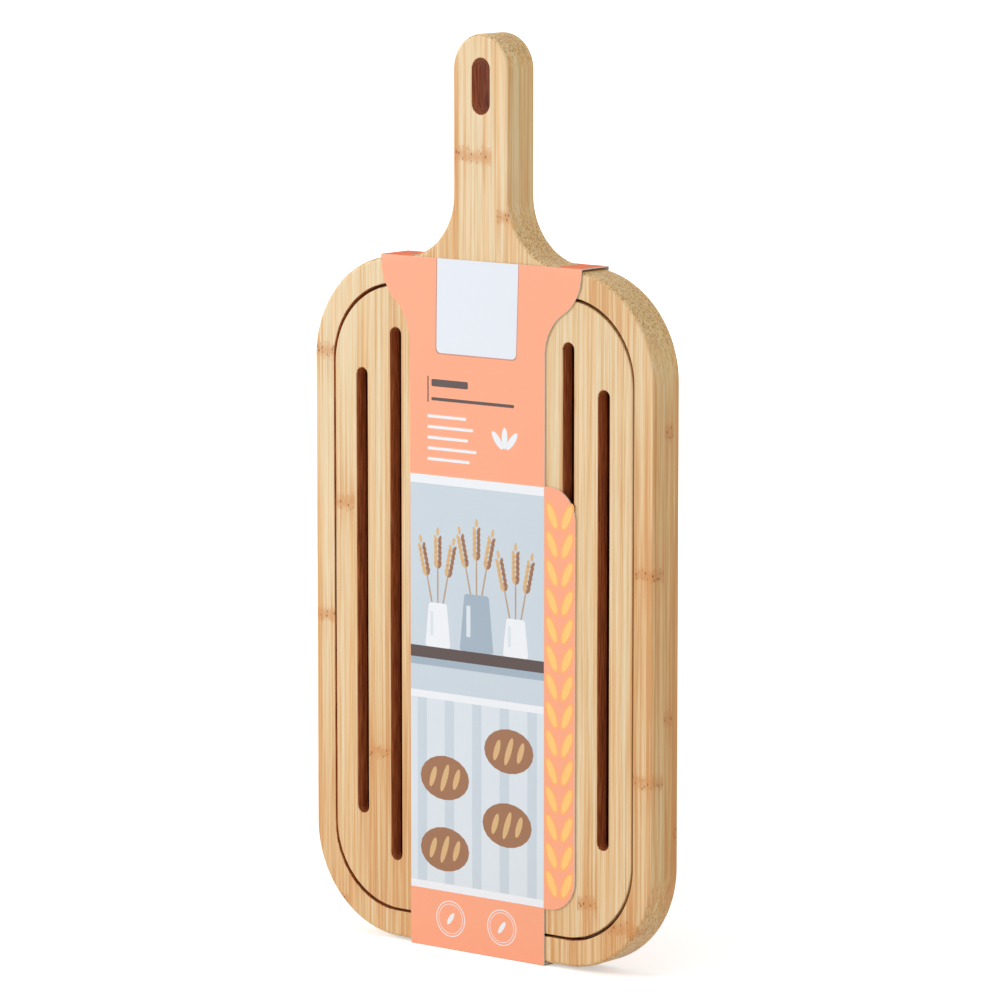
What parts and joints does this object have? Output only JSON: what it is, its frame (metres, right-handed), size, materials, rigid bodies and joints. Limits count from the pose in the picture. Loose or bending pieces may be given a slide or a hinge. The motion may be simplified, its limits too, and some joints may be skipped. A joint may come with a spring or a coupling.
{
  "type": "bread board with crumb tray",
  "caption": "Bamboo bread board with a handle and a lift-out slotted grid over a crumb tray, in a printed card sleeve.",
  "frame": {"origin": "centre of the standing face under the sleeve, below the middle of the board", "axes": "+Z along the handle, -Y out of the cutting face, +X to the right seen from the cutting face"},
  "size_m": [0.2, 0.0208, 0.4296],
  "materials": {
    "bamboo_face": "sanded and oiled vertical-grain bamboo",
    "bamboo_core": "sanded bamboo edge",
    "bamboo_back": "sanded bamboo",
    "bamboo_grid": "sanded and oiled bamboo",
    "printed_card": "offset-printed coated card",
    "printed_card_back": "offset-printed coated card"
  },
  "bodies": {
    "tray": {"front_ply": "bamboo_face", "middle_ply": "bamboo_core", "back_ply": "bamboo_back", "sleeve_back": "printed_card_back"},
    "grid": {"slotted_grid": "bamboo_grid"},
    "sleeve": {"sleeve_front": "printed_card"}
  },
  "joints": [
    {"name": "grid_lift", "type": "slide", "parent": "tray", "child": "grid", "axis": [0, -1, 0], "range_m": [0, 0.03]},
    {"name": "sleeve_open", "type": "hinge", "parent": "tray", "child": "sleeve", "pos_m": [0, -0.0104, 0.3254], "axis": [-1, 0, 0], "range_deg": [0, 150]}
  ],
  "couplings": [
    {"joint": "sleeve_open", "follows": "grid_lift", "rad_per_m": 85}
  ]
}
